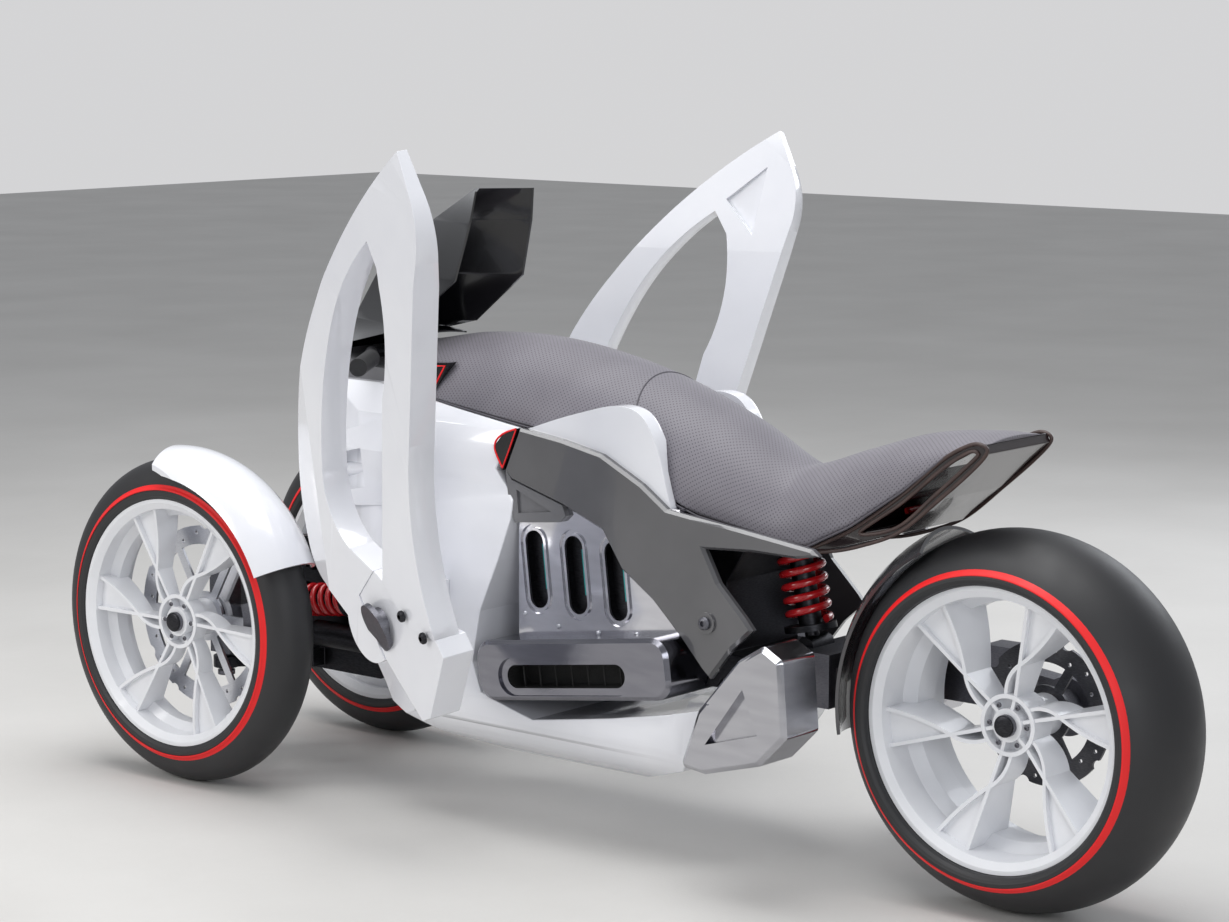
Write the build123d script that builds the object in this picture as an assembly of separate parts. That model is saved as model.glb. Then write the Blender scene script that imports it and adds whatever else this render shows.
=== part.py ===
from build123d import *
import math
import os

os.makedirs("parts", exist_ok=True)

# Three-wheeled motorcycle: two steered wheels in front, one wide wheel behind.
# Millimetres. +X is the rider's left, +Y is rearward, +Z is up, z = 0 is the ground.

# Driving sizes
TRACK = 525.0
FRONT_AXLE_Y = -820.5
REAR_AXLE_Y = 814.5
FRONT_TYRE_R = 300.0
REAR_TYRE_R = 306.0
BEAD_R = 216.0
RIM_LIP_R = 228.0
STRIPE_R = 251.0
AXLE_R = 12.5
RUNNING_GAP = 0.05
KINGPIN_INSET = 90.5
KINGPIN_X = TRACK / 2 - KINGPIN_INSET
KINGPIN_R = 10.0
ARM_HEIGHT = 92.0
ENGINE_HALF = 150.0
PANEL_THICK = 14.0

# Blade hoops lie in one leaning plane each: forward edge toed in, top flared out
HOOP_X = 351.0
HOOP_TOE = 0.279
HOOP_FLARE = 0.139
HOOP_THICK = 50.0


def block(x0, x1, y0, y1, z0, z1):
    middle = Location(((x0 + x1) / 2, (y0 + y1) / 2, (z0 + z1) / 2))
    return middle * Box(x1 - x0, y1 - y0, z1 - z0)


def side_prism(points, x0, x1):
    face = make_face(Plane.YZ.offset(x0) * Polyline(*points, close=True))
    return extrude(face, x1 - x0, dir=(1, 0, 0))


def plan_prism(points, z0, z1):
    face = make_face(Plane.XY.offset(z0) * Polyline(*points, close=True))
    return extrude(face, z1 - z0, dir=(0, 0, 1))


def front_prism(points, y0, y1):
    plane = Plane(origin=(0, y1, 0), x_dir=(1, 0, 0), z_dir=(0, -1, 0))
    face = make_face(plane * Polyline(*points, close=True))
    return extrude(face, y1 - y0, dir=(0, -1, 0))


def bar(start, end, radius):
    reach = Vector(*end) - Vector(*start)
    plane = Plane(origin=start, z_dir=reach)
    return plane * Location((0, 0, reach.length / 2)) * Cylinder(radius, reach.length)


def ring_x(inner, outer, x0, x1):
    profile = Polyline((x0, inner), (x0, outer), (x1, outer), (x1, inner), close=True)
    return revolve(make_face(profile), Axis.X, 360)


def mirrored(shape):
    return mirror(shape, about=Plane.YZ)


def pair(shape):
    return Compound(children=[shape, mirrored(shape)])


def save(name, shape):
    shape.label = name
    export_step(shape, f"parts/{name}.step")


# Tyres: a hollow carcass of revolution, round in the crown, open between its beads
def tyre(outer_r, stripe_x, bead_x, bulge_x, wall):
    bulge_r = (RIM_LIP_R + STRIPE_R) / 2
    lip_x = bead_x + 8
    crown_in = outer_r - 1.4 * wall
    outside = [
        Line((-bead_x + 2 * wall, BEAD_R), (-bead_x, BEAD_R)),
        Line((-bead_x, BEAD_R), (-bead_x, RIM_LIP_R)),
        Line((-bead_x, RIM_LIP_R), (-lip_x, RIM_LIP_R + 1)),
        ThreePointArc((-lip_x, RIM_LIP_R + 1), (-bulge_x, bulge_r), (-stripe_x, STRIPE_R)),
        ThreePointArc((-stripe_x, STRIPE_R), (0, outer_r), (stripe_x, STRIPE_R)),
        ThreePointArc((stripe_x, STRIPE_R), (bulge_x, bulge_r), (lip_x, RIM_LIP_R + 1)),
        Line((lip_x, RIM_LIP_R + 1), (bead_x, RIM_LIP_R)),
        Line((bead_x, RIM_LIP_R), (bead_x, BEAD_R)),
        Line((bead_x, BEAD_R), (bead_x - 2 * wall, BEAD_R)),
    ]
    inside = ThreePointArc((bead_x - 2 * wall, BEAD_R), (0, crown_in), (-bead_x + 2 * wall, BEAD_R))
    return revolve(make_face(Wire(outside + [inside])), Axis.X, 360)


# Rims: a stepped barrel with lips
def barrel(half):
    lip = half + 6
    profile = Polyline(
        (-lip, RIM_LIP_R), (-half, RIM_LIP_R), (-half, BEAD_R), (-0.55 * half, BEAD_R),
        (-0.40 * half, 200), (0.10 * half, 200), (0.30 * half, BEAD_R), (half, BEAD_R),
        (half, RIM_LIP_R), (lip, RIM_LIP_R), (lip, 221), (half - 3, 209), (0.35 * half, 208),
        (0.12 * half, 193), (-0.42 * half, 193), (-0.60 * half, 209), (3 - half, 209), (-lip, 221),
        close=True)
    return revolve(make_face(profile), Axis.X, 360)


# Split spokes: a straight rib, a curved rib that crosses it, and a set-back web between
SPOKES = 6
HUB_RING_R = 50.0
CROSS_R = 104.0
SPLAY = 66.0
RIB = 6.0
SEAT_IN = 212.0
WELL_IN = 196.0


def turned(shape, count, start):
    copies = Sketch()
    for step in range(count):
        copies += Rotation(0, 0, start + step * 360 / count) * shape
    return copies


def wheel_rim(half, face_x, inner_x, start):
    lip_x = 0.84 * half
    depth = 1.20 * half
    straight = Line((0, 20), (0, 225))
    loop = ThreePointArc((-17, 44), (-15, 78), (0, CROSS_R))
    swept = ThreePointArc((0, CROSS_R), (30, 145), (SPLAY, 222))
    ribs = trace(straight, RIB) + trace(loop, RIB) + trace(swept, RIB)
    web = make_face(Wire([Line((0, 225), (0, CROSS_R)), swept, Line((SPLAY, 222), (0, 225))]))
    rib_zone = revolve(make_face(Polyline(
        (face_x + 3, 20), (face_x + 3, HUB_RING_R), (lip_x, SEAT_IN + 2), (0.34 * half, SEAT_IN),
        (0.11 * half, WELL_IN), (lip_x - depth, WELL_IN), (face_x - 0.5 * half, HUB_RING_R),
        (face_x - 0.3 * half, 20), close=True)), Axis.X, 360)
    web_zone = revolve(make_face(Polyline(
        (face_x - 6, HUB_RING_R), (lip_x - 10, SEAT_IN), (0.34 * half, SEAT_IN), (0.11 * half, WELL_IN),
        (0.0, WELL_IN), (face_x - 0.35 * half, HUB_RING_R), close=True)), Axis.X, 360)
    rim = barrel(half)
    rim += extrude(Plane.YZ.offset(-120) * turned(ribs, SPOKES, start), 240, dir=(1, 0, 0)) & rib_zone
    rim += extrude(Plane.YZ.offset(-120) * turned(web, SPOKES, start), 240, dir=(1, 0, 0)) & web_zone
    rim += ring_x(AXLE_R - 3, 27, inner_x, face_x + 6)
    rim += ring_x(HUB_RING_R - 7, HUB_RING_R, face_x - 0.5 * half, face_x + 5)
    rim += ring_x(26, HUB_RING_R - 6, face_x - 0.5 * half, face_x - 14)
    rim += ring_x(AXLE_R - 3, 34, inner_x, face_x - 0.4 * half)
    return rim - bar((-200, 0, 0), (200, 0, 0), AXLE_R + RUNNING_GAP)


# Brake discs: a drilled ring with a waved rim on a six-armed carrier
def brake_disc(outer, x0, x1, waves):
    band = Circle(outer) - Circle(outer - 34)
    for wave in range(waves):
        band -= Rotation(0, 0, wave * 360 / waves) * Location((outer + 5, 0)) * Circle(11)
    for hole in range(2 * waves):
        reach = outer - 13 - 10 * (hole % 2)
        band -= Rotation(0, 0, (hole + 0.5) * 180 / waves) * Location((reach, 0)) * Circle(3.5)
    carrier = Circle(46) - Circle(34)
    arms = turned(Location((0, (outer + 10) / 2)) * Rectangle(16, outer - 76), 6, 30)
    return extrude(Plane.YZ.offset(x0) * (band + carrier + arms), x1 - x0, dir=(1, 0, 0))


front_tyre = tyre(FRONT_TYRE_R, 51, 46, 58, 9)
front_rim = wheel_rim(46, 26, -44, 29.7)
front_disc = brake_disc(168, -44, -39, 12)
rear_tyre = tyre(REAR_TYRE_R, 106, 92, 114, 11)
rear_rim = wheel_rim(92, 41, -70, 45.9)
rear_disc = brake_disc(118, -70, -64, 10)

FRONT_AXLE_Z = FRONT_TYRE_R
REAR_AXLE_Z = REAR_TYRE_R
LEFT_WHEEL = Location((TRACK / 2, FRONT_AXLE_Y, FRONT_AXLE_Z))
REAR_WHEEL = Location((0, REAR_AXLE_Y, REAR_AXLE_Z))

for piece, solid in (("tyre", front_tyre), ("rim", front_rim), ("disc", front_disc)):
    save(f"front_left_{piece}", LEFT_WHEEL * solid)
    save(f"front_right_{piece}", mirrored(LEFT_WHEEL * solid))
for piece, solid in (("tyre", rear_tyre), ("rim", rear_rim), ("disc", rear_disc)):
    save(f"rear_{piece}", REAR_WHEEL * solid)


# Steering knuckles: kingpin, upright, stub axle and a brake caliper around the disc
def knuckle():
    y = FRONT_AXLE_Y
    z = FRONT_AXLE_Z
    top = z + ARM_HEIGHT
    bottom = z - ARM_HEIGHT
    wheel_x = TRACK / 2
    body = block(KINGPIN_X - 15, KINGPIN_X + 15, y - 26, y + 26, bottom + 17, top - 17)
    body += bar((KINGPIN_X, y, bottom - 22), (KINGPIN_X, y, top + 22), KINGPIN_R)
    body += bar((KINGPIN_X, y, top + 17), (KINGPIN_X, y, top + 25), 16)
    body += bar((KINGPIN_X, y, bottom - 25), (KINGPIN_X, y, bottom - 17), 16)
    body += bar((KINGPIN_X, y, z), (wheel_x - 50, y, z), 30)
    body += bar((KINGPIN_X, y, z), (wheel_x + 36, y, z), AXLE_R)
    body += bar((wheel_x + 33, y, z), (wheel_x + 40, y, z), 18)
    body += block(KINGPIN_X + 2, KINGPIN_X + 16, y + 20, y + 150, z - 24, z + 20)
    bridge = make_face(Polyline(
        (-78, 112), (-78, 184), (-19, 184), (-19, 122), (-33, 122), (-33, 175), (-50, 175), (-50, 112),
        close=True))
    caliper = Rotation(-16, 0, 0) * revolve(bridge, Axis.X, 34)
    return body + Location((wheel_x, y, z)) * caliper


# Fenders ride with the knuckles, over the upper rear quarter of each tyre
def fender():
    inner = FRONT_TYRE_R + 14
    outer = inner + 8
    skirt = inner - 40
    section = make_face(Wire([
        Line((-68, skirt), (-74, skirt)),
        ThreePointArc((-74, skirt), (0, outer), (74, skirt)),
        Line((74, skirt), (68, skirt)),
        ThreePointArc((68, skirt), (0, inner), (-68, skirt)),
    ]))
    guard = Rotation(25, 0, 0) * revolve(section, Axis.X, 70)
    guard &= plan_prism([(-46, -120), (46, -120), (74, 40), (74, 340), (-74, 340), (-74, 40)], -50, 400)
    stay = Rotation(60, 0, 0) * block(-74, -66, 31, skirt + 12, -9, 9)
    stay += bar((-74, 0, 0), (-62, 0, 0), 36)
    stay -= bar((-100, 0, 0), (0, 0, 0), 30)
    return LEFT_WHEEL * (guard + stay)


left_knuckle = knuckle()
save("left_knuckle", left_knuckle)
save("right_knuckle", mirrored(left_knuckle))
left_fender = fender()
save("left_fender", left_fender)
save("right_fender", mirrored(left_fender))

# Front frame: a dark beam ahead of the body that carries the arms and coil-overs
SHELL_FRONT = [(-540, 520), (-490, 400), (-450, 260)]
low = FRONT_AXLE_Z - ARM_HEIGHT - 23
high = FRONT_AXLE_Z + ARM_HEIGHT + 13
front_beam = side_prism([
    (-960, low), (-975, FRONT_AXLE_Z), (-930, high), (-800, high + 20), (-640, high + 45), *SHELL_FRONT,
    (-560, low)], -28, 28)
for arm_z in (FRONT_AXLE_Z - ARM_HEIGHT, FRONT_AXLE_Z + ARM_HEIGHT):
    for pivot_y in (FRONT_AXLE_Y - 84, FRONT_AXLE_Y + 84):
        front_beam += block(-58, 58, pivot_y - 30, pivot_y - 20, arm_z - 16, arm_z + 16)
        front_beam += block(-58, 58, pivot_y + 20, pivot_y + 30, arm_z - 16, arm_z + 16)
save("front_beam", front_beam)


# Control arms: flat triangles with an eye around the kingpin
def control_arm(z):
    y = FRONT_AXLE_Y
    outline = [
        (KINGPIN_X - 8, y - 20), (KINGPIN_X - 8, y + 20), (64, y + 104), (40, y + 104), (40, y + 64),
        (64, y + 64), (128, y), (64, y - 64), (40, y - 64), (40, y - 104), (64, y - 104)]
    arm = plan_prism(outline, z - 11, z + 11)
    arm += bar((KINGPIN_X, y, z - 11), (KINGPIN_X, y, z + 11), 24)
    arm -= bar((KINGPIN_X, y, z - 20), (KINGPIN_X, y, z + 20), KINGPIN_R + RUNNING_GAP)
    return arm


save("upper_arms", pair(control_arm(FRONT_AXLE_Z + ARM_HEIGHT)))
save("lower_arms", pair(control_arm(FRONT_AXLE_Z - ARM_HEIGHT)))


# Coil spring standing on +Z, open wire helix with its ends let into two seats
def coil(radius, wire, height, turns):
    path = Helix(height / turns, height, radius)
    section = Plane(origin=path @ 0, z_dir=path % 0) * Circle(wire)
    return sweep(section, path, is_frenet=True)


# Front coil-overs lie along the beam, one on each side
COIL_X = 62.0
front_body = bar((COIL_X, -560, 340), (COIL_X, -640, 330), 20)
front_body += bar((COIL_X, -640, 330), (COIL_X, -722, 320), 9)
front_body += bar((COIL_X, -718, 320.4), (COIL_X, -726, 319.4), 34)
front_body += bar((COIL_X, -596, 335.5), (COIL_X, -604, 334.5), 34)
front_body += bar((28, -575, 338), (COIL_X + 18, -575, 338), 12)
front_body += bar((28, -735, 318), (COIL_X + 18, -735, 318), 12)
front_body += bar((COIL_X, -735, 318), (COIL_X, -722, 320), 9)
save("front_dampers", pair(front_body))
front_coil_axis = Plane(origin=(COIL_X, -612, 333.5), z_dir=(0, -98, -12.2))
front_coil = front_coil_axis * coil(26, 5.5, 98, 5)
save("front_springs", pair(front_coil))
front_tube = bar((COIL_X, -540, 262), (COIL_X, -690, 262), 24)
front_tube += bar((28, -560, 262), (COIL_X, -560, 262), 20)
save("front_tubes", pair(front_tube))

# Body shell: nose between the hoops and a belly pan under the engine, white
side_view = side_prism([
    (-114, 705), (-480, 752), (-610, 752), (-630, 700), *SHELL_FRONT, (-400, 190), (-300, 150),
    (-100, 125), (150, 130), (260, 165), (330, 240), (317, 278), (126, 240), (-52, 211),
    (-167, 243), (-190, 293), (-178, 383), (-142, 475), (-119, 547), (-115, 582), (-153, 632)], -200, 200)
shell_flank = [
    ThreePointArc((70, 122), (150, 150), (189, 232)),
    ThreePointArc((189, 232), (176, 420), (160, 600)),
    ThreePointArc((160, 600), (154, 690), (112, 754)),
]
shell_ring = Wire([
    Line((-70, 122), (70, 122)), *shell_flank, Line((112, 754), (-112, 754)),
    *[edge.mirror(Plane.YZ) for edge in shell_flank]])
shell_plane = Plane(origin=(0, 400, 0), x_dir=(1, 0, 0), z_dir=(0, -1, 0))
front_view = extrude(shell_plane * make_face(shell_ring), 1100, dir=(0, -1, 0))
plan_flank = [
    ThreePointArc((86, -640), (128, -560), (160, -420)),
    ThreePointArc((160, -420), (186, -260), (190, -60)),
    Line((190, -60), (190, 160)),
    ThreePointArc((190, 160), (182, 270), (144, 340)),
]
plan_ring = Wire([
    Line((-86, -640), (86, -640)), *plan_flank, Line((144, 340), (-144, 340)),
    *[edge.mirror(Plane.YZ) for edge in plan_flank]])
top_view = extrude(Plane.XY.offset(100) * make_face(plan_ring), 700, dir=(0, 0, 1))
body_shell = side_view & front_view & top_view
save("body_shell", body_shell)

# Hoops: tall blades, each a thick outline in its own leaning plane
hoop_along = Vector(HOOP_TOE, 1, 0).normalized()
hoop_normal = Vector(1, -HOOP_TOE, -HOOP_FLARE).normalized()
hoop_plane = Plane(origin=(HOOP_X, 0, 0), x_dir=hoop_along, z_dir=hoop_normal)
hoop_edge = Wire([
    ThreePointArc((-4, 1202), (-155, 1095), (-312, 932)),
    ThreePointArc((-312, 932), (-400, 800), (-455, 660)),
    ThreePointArc((-455, 660), (-470, 575), (-462, 490)),
    ThreePointArc((-462, 490), (-437, 450), (-403, 430)),
    Line((-403, 430), (-335, 385)),
    ThreePointArc((-335, 385), (-290, 316), (-226, 324)),
    Line((-226, 324), (-288, 428)),
    Line((-288, 428), (-228, 480)),
    Line((-228, 480), (-300, 510)),
    ThreePointArc((-300, 510), (-345, 556), (-360, 640)),
    ThreePointArc((-360, 640), (-330, 760), (-283, 868)),
    ThreePointArc((-283, 868), (-207, 976), (-118, 1052)),
    Line((-118, 1052), (-92, 1010)),
    ThreePointArc((-92, 1010), (-87, 920), (-123, 788)),
    Line((-123, 788), (-200, 465)),
    Line((-200, 465), (-130, 395)),
    Line((-130, 395), (-50, 388)),
    ThreePointArc((-50, 388), (-80, 550), (-55, 715)),
    Line((-55, 715), (30, 1020)),
    ThreePointArc((30, 1020), (38, 1080), (22, 1140)),
    Line((22, 1140), (-4, 1202)),
])
hoop = extrude(hoop_plane * make_face(hoop_edge), HOOP_THICK / 2, both=True)
recess_plane = hoop_plane.offset(-HOOP_THICK / 2)
recess = recess_plane * make_face(Polyline((-98, 1074), (-22, 1135), (-42, 1010), close=True))
hoop -= extrude(recess, 14, dir=hoop_normal)
edge_plane = Plane(origin=hoop_plane.origin - 700 * hoop_along, x_dir=hoop_plane.y_dir, z_dir=hoop_along)
tip_taper = edge_plane * make_face(Polyline(
    (250, -25), (980, -25), (1210, -9), (1210, 9), (980, 25), (250, 25), close=True))
hoop &= extrude(tip_taper, 1400, dir=hoop_along)
nose_plane = Plane(origin=hoop_plane.origin, x_dir=hoop_along, z_dir=hoop_plane.y_dir)
nose_taper = nose_plane * make_face(Polyline(
    (-500, -8), (-390, -25), (80, -25), (80, 25), (-390, 25), (-500, 8), close=True))
hoop &= extrude(nose_taper, 1400, dir=hoop_plane.y_dir)
save("left_hoop", hoop)
save("right_hoop", mirrored(hoop))

# Brackets tie both feet of each hoop together and reach in to the body
foot_points = [(-228, 480), (-288, 428), (-226, 324), (-127, 232), (-100, 242), (-31, 360),
               (-50, 388), (-130, 395), (-200, 465)]
foot_face = hoop_plane.offset(-HOOP_THICK / 2 - 12) * make_face(Polyline(*foot_points, close=True))
bracket = extrude(foot_face, HOOP_THICK + 10, dir=hoop_normal)
bracket += block(120, 330, -420, -330, 330, 410) - hoop
bracket += block(120, 345, -300, -250, 380, 430) - hoop
bracket -= hoop
bracket -= body_shell
save("hoop_brackets", pair(bracket.solids().sort_by(SortBy.VOLUME)[-1]))

cap_plane = Plane(origin=(364, -240, 377), z_dir=(0.808, -0.370, -0.395))
pivot_cap = extrude(cap_plane * Circle(44), 9) + extrude(cap_plane * Circle(30), -26)
pivot_cap -= bracket
pivot_cap -= hoop
save("pivot_caps", pair(pivot_cap.solids().sort_by(SortBy.VOLUME)[-1]))

# Lamp housings: a white frame with a square window on each side of the nose
lamp_outline = [
    (-588, 624), (-512, 668), (-425, 693), (-377, 706), (-377, 545), (-415, 542), (-514, 532), (-577, 520)]
lamp = side_prism(lamp_outline, 95, 180)
lamp &= front_prism([(90, 500), (156, 500), (180, 640), (168, 710), (90, 710)], -600, -360)
lamp -= side_prism([(-558, 618), (-460, 642), (-461, 570), (-559, 551)], 132, 200)
lamp += bar((142, -572, 588), (142, -450, 606), 12)
lamp += side_prism([(-524, 748), (-532, 676), (-425, 690), (-425, 764)], 112, 124)
lamp -= body_shell
save("lamp_housings", pair(lamp.solids().sort_by(SortBy.VOLUME)[-1]))

# Engine: one closed block with three tall slots in each side
engine = block(-ENGINE_HALF, ENGINE_HALF, -112, 240, 300, 600)
SLOT_PITCH = 88.0
for count in range(3):
    slot_y = -72 + count * SLOT_PITCH
    middle = Plane(origin=(ENGINE_HALF, slot_y, 465), x_dir=(0, -0.12, 1), z_dir=(1, 0, 0))
    groove = extrude(middle * (SlotOverall(156, 62) - SlotOverall(144, 50)), -4)
    slot = extrude(middle * SlotOverall(134, 40), -20)
    engine -= groove + slot
    engine -= mirrored(groove + slot)
engine -= body_shell
save("engine_block", engine)

# Exhaust box: sloping chrome box below the engine with one long outlet slot a side
EXHAUST_HALF = 205.0
exhaust = block(-EXHAUST_HALF, EXHAUST_HALF, -165, 262, 262, 366)
exhaust = fillet(exhaust.edges().filter_by(Axis.X), 34)
end_faces = exhaust.faces().sort_by(Axis.X)
exhaust = chamfer(end_faces[0].edges() + end_faces[-1].edges(), 7)
outlet_plane = Plane(origin=(EXHAUST_HALF, 34, 303), x_dir=(0, 1, 0), z_dir=(1, 0, 0))
outlet = extrude(outlet_plane * SlotOverall(296, 66), -5)
outlet += extrude(outlet_plane * SlotOverall(262, 40), -52)
exhaust -= outlet
exhaust -= mirrored(outlet)
exhaust = Location((0, 50, 310)) * Rotation(8, 0, 0) * Location((0, -50, -310)) * exhaust
exhaust -= body_shell
exhaust -= engine
save("exhaust_box", exhaust.solids().sort_by(SortBy.VOLUME)[-1])

# Saddle: one long crowned cover, a tank hump and seat that meets a raised tail in a sharp valley
SEAT_SECTIONS = [
    # y, half width, flank top, crown top
    (-458, 94, 749, 826),
    (-314, 128, 750, 849),
    (-170, 139, 746, 852),
    (-27, 141, 728, 834),
    (117, 140, 690, 799),
    (260, 131, 634, 746),
    (404, 114, 588, 679),
]
TAIL_SECTIONS = [
    (404, 114, 588, 679),
    (523, 104, 650, 716),
    (642, 98, 704, 751),
    (762, 92, 744, 762),
]


def crowned(table):
    sections = []
    for y, half, flank, crown in table:
        section_plane = Plane(origin=(0, y, 0), x_dir=(1, 0, 0), z_dir=(0, -1, 0))
        outline = Wire([
            Line((-half, 540), (-half, flank)),
            ThreePointArc((-half, flank), (0, crown), (half, flank)),
            Line((half, flank), (half, 540)),
            Line((half, 540), (-half, 540)),
        ])
        sections.append(section_plane * make_face(outline))
    return loft(sections)


saddle_side = side_prism([
    (-458, 749.2), (-114, 705), (-114, 600), (240, 600), (262, 586), (464, 552), (547, 594),
    (642, 660), (716, 722), (762, 748), (762, 900), (-458, 900)], -300, 300)
saddle = (crowned(SEAT_SECTIONS) + crowned(TAIL_SECTIONS)) & saddle_side
save("saddle", saddle)

# Tail: a folded loop under the saddle's raised end, hollow through
tail = side_prism([
    (464, 552), (547, 594), (642, 660), (716, 722), (762, 748), (790, 752), (797, 738),
    (710, 658), (636, 597), (501, 556)], -92, 92)
tail_hollow = [(560, 590), (640, 646), (716, 708), (770, 738), (780, 736), (704, 666), (632, 608)]
tail -= side_prism(tail_hollow, -100, 100)
save("tail_loop", tail)

# Side inserts: smooth white pieces between the saddle and the grey panels
insert_top = Spline(
    (-101, 702), (-19, 730), (47, 749), (112, 761), (155, 750), (176, 727), (198, 679), (224, 594))
insert_foot = Polyline((224, 594), (200, 600), (-101, 600), (-101, 702))
insert_face = Plane.YZ.offset(120) * make_face(insert_top + insert_foot)
insert = extrude(insert_face, ENGINE_HALF - 120, dir=(1, 0, 0)) - saddle - engine
save("side_inserts", pair(insert.solids().sort_by(SortBy.VOLUME)[-1]))

# Side panels: dark sweeping blades from the blinker to a low tip, notched by the intake
panel_outline = [
    (-101, 707), (-6, 695), (81, 678), (168, 636), (221, 600), (273, 594), (376, 583), (516, 566),
    (530, 556), (485, 548), (400, 549), (300, 543), (330, 490), (385, 437), (400, 420), (358, 384),
    (313, 328), (296, 342), (254, 387), (190, 446), (125, 489), (82, 551), (-6, 584), (-119, 616),
    (-135, 632)]
panel = side_prism(panel_outline, ENGINE_HALF, ENGINE_HALF + 0.6 * PANEL_THICK)
panel_plane = Plane.YZ.offset(ENGINE_HALF + 0.6 * PANEL_THICK)
panel_face = make_face(panel_plane * Polyline(*panel_outline, close=True))
panel += extrude(panel_face, 0.4 * PANEL_THICK, dir=(1, 0, 0), taper=40)
panel = panel - body_shell - exhaust
panel += bar((ENGINE_HALF, 308, 422), (ENGINE_HALF + PANEL_THICK + 4, 308, 422), 18)
save("side_panels", pair(panel.solids().sort_by(SortBy.VOLUME)[-1]))
vent_outline = [(-133, 634), (-119, 616), (-6, 584), (2, 566), (-11, 554), (-112, 543), (-126, 580)]
vent = side_prism(vent_outline, ENGINE_HALF, ENGINE_HALF + 11) - body_shell - panel
vent -= side_prism([(-108, 600), (-30, 570), (-104, 560)], ENGINE_HALF + 6, ENGINE_HALF + 20)
save("vent_covers", pair(vent.solids().sort_by(SortBy.VOLUME)[-1]))
blinker_outline = [(-153, 673), (-130, 698), (-101, 707), (-135, 632)]
blinker = side_prism(blinker_outline, 130, ENGINE_HALF + PANEL_THICK + 3) - body_shell - saddle
save("blinkers", pair(blinker.solids().sort_by(SortBy.VOLUME)[-1]))

# Rear frame: dark block behind the engine that carries the swingarm, the spring and the foot pods
rear_frame = side_prism([
    (240, 300), (240, 600), (262, 586), (464, 552), (464, 540), (340, 540), (300, 480), (300, 330),
    (280, 300)], -100, 100)
rear_frame += block(-100, 100, 290, 400, 300, 360)
rear_frame -= exhaust
save("rear_frame", rear_frame)

# Foot pods: polished wedges standing out on each side
pod_outline = [
    (350, 212), (400, 206), (510, 236), (562, 288), (552, 410), (515, 430), (466, 400), (386, 308)]
pod = side_prism(pod_outline, 200, 290)
pod = fillet(pod.edges().filter_by(Axis.X), 10)
pod = chamfer(pod.faces().sort_by(Axis.X)[-1].edges(), 8)
pod -= side_prism([(404, 256), (508, 286), (478, 356)], 276, 300)
pod -= side_prism([(388, 330), (470, 420), (500, 420), (410, 320)], 286, 300)
pod += bar((100, 335, 330), (205, 400, 330), 20) - rear_frame
save("foot_pods", pair(pod))

# Swingarm: from the rear frame, around the tyre's right side to the stub axle
arm_plan = [
    (60, 405), (60, 480), (-120, 480), (-128, 560), (-128, 850), (-165, 850), (-175, 560), (-150, 405)]
arm_side = [(400, 285), (400, 375), (540, 375), (860, 340), (860, 278), (520, 285)]
swingarm = plan_prism(arm_plan, 285, 375) & side_prism(arm_side, -200, 100)
swingarm += bar((-165, REAR_AXLE_Y, REAR_AXLE_Z), (-128, REAR_AXLE_Y, REAR_AXLE_Z), 48)
swingarm += bar((-130, REAR_AXLE_Y, REAR_AXLE_Z), (-76, REAR_AXLE_Y, REAR_AXLE_Z), 30)
swingarm += bar((-130, REAR_AXLE_Y, REAR_AXLE_Z), (50, REAR_AXLE_Y, REAR_AXLE_Z), AXLE_R)
swingarm += bar((48, REAR_AXLE_Y, REAR_AXLE_Z), (56, REAR_AXLE_Y, REAR_AXLE_Z), 18)
swingarm += block(-60, 60, 395, 440, 310, 360)
swingarm -= rear_frame
save("swingarm", swingarm)

caliper = block(-128, -76, 690, 740, 330, 400)
save("rear_caliper", caliper)

damper = bar((0, 372, 542), (0, 400, 400), 20) + bar((0, 400, 400), (0, 406, 372), 12)
damper += bar((0, 372, 541), (0, 374, 530), 44) + bar((0, 398, 408), (0, 400, 398), 44)
damper += bar((-30, 410, 375), (30, 410, 375), 16)
damper -= rear_frame
damper -= swingarm
save("rear_damper", damper)
rear_spring = Plane(origin=(0, 396.7, 414.5), z_dir=(0, -24, 122)) * coil(34, 6.5, 110.9, 5)
save("rear_spring", rear_spring)

# Rear hugger: a curved sheet ahead of the rear tyre
hug_in = REAR_TYRE_R + 20
hug_out = hug_in + 6
hug_section = make_face(Wire([
    Line((-86, hug_in - 30), (-90, hug_in - 26)),
    ThreePointArc((-90, hug_in - 26), (0, hug_out), (90, hug_in - 26)),
    Line((90, hug_in - 26), (86, hug_in - 30)),
    ThreePointArc((86, hug_in - 30), (0, hug_in), (-86, hug_in - 30)),
]))
hugger = REAR_WHEEL * Rotation(118, 0, 0) * revolve(hug_section, Axis.X, 72)
hugger += block(-40, 40, 480, 490, 310, 350)
save("hugger", hugger)

# Windscreen: five ruled V sections, a faceted shield that leans back
SCREEN_SECTIONS = [
    # z, ridge y, half width, rear edge y
    (775, -667, 84, -636),
    (815, -658, 92, -575),
    (850, -648, 96, -430),
    (940, -585, 92, -313),
    (1040, -445, 84, -285),
    (1098, -345, 78, -276),
]
screen_faces = []
for z, ridge, half, edge in SCREEN_SECTIONS:
    outline = Polyline(
        (0, ridge), (half, edge), (half - 5, edge), (0, ridge + 9), (5 - half, edge), (-half, edge),
        close=True)
    screen_faces.append(Plane.XY.offset(z) * make_face(outline))
windscreen = loft(screen_faces, ruled=True)
save("windscreen", windscreen)

# Dash pod: carries the screen and the steering stem
dash_outline = [(-610, 752), (-655, 775), (-610, 800), (-540, 780), (-478, 774), (-478, 752)]
dash_pod = side_prism(dash_outline, -96, 96)
STEM_Y = -520.0
STEM_Z = 752.0
STEM_TILT = math.radians(12)


def on_stem(height):
    return (0, STEM_Y + height * math.sin(STEM_TILT), STEM_Z + height * math.cos(STEM_TILT))


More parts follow.
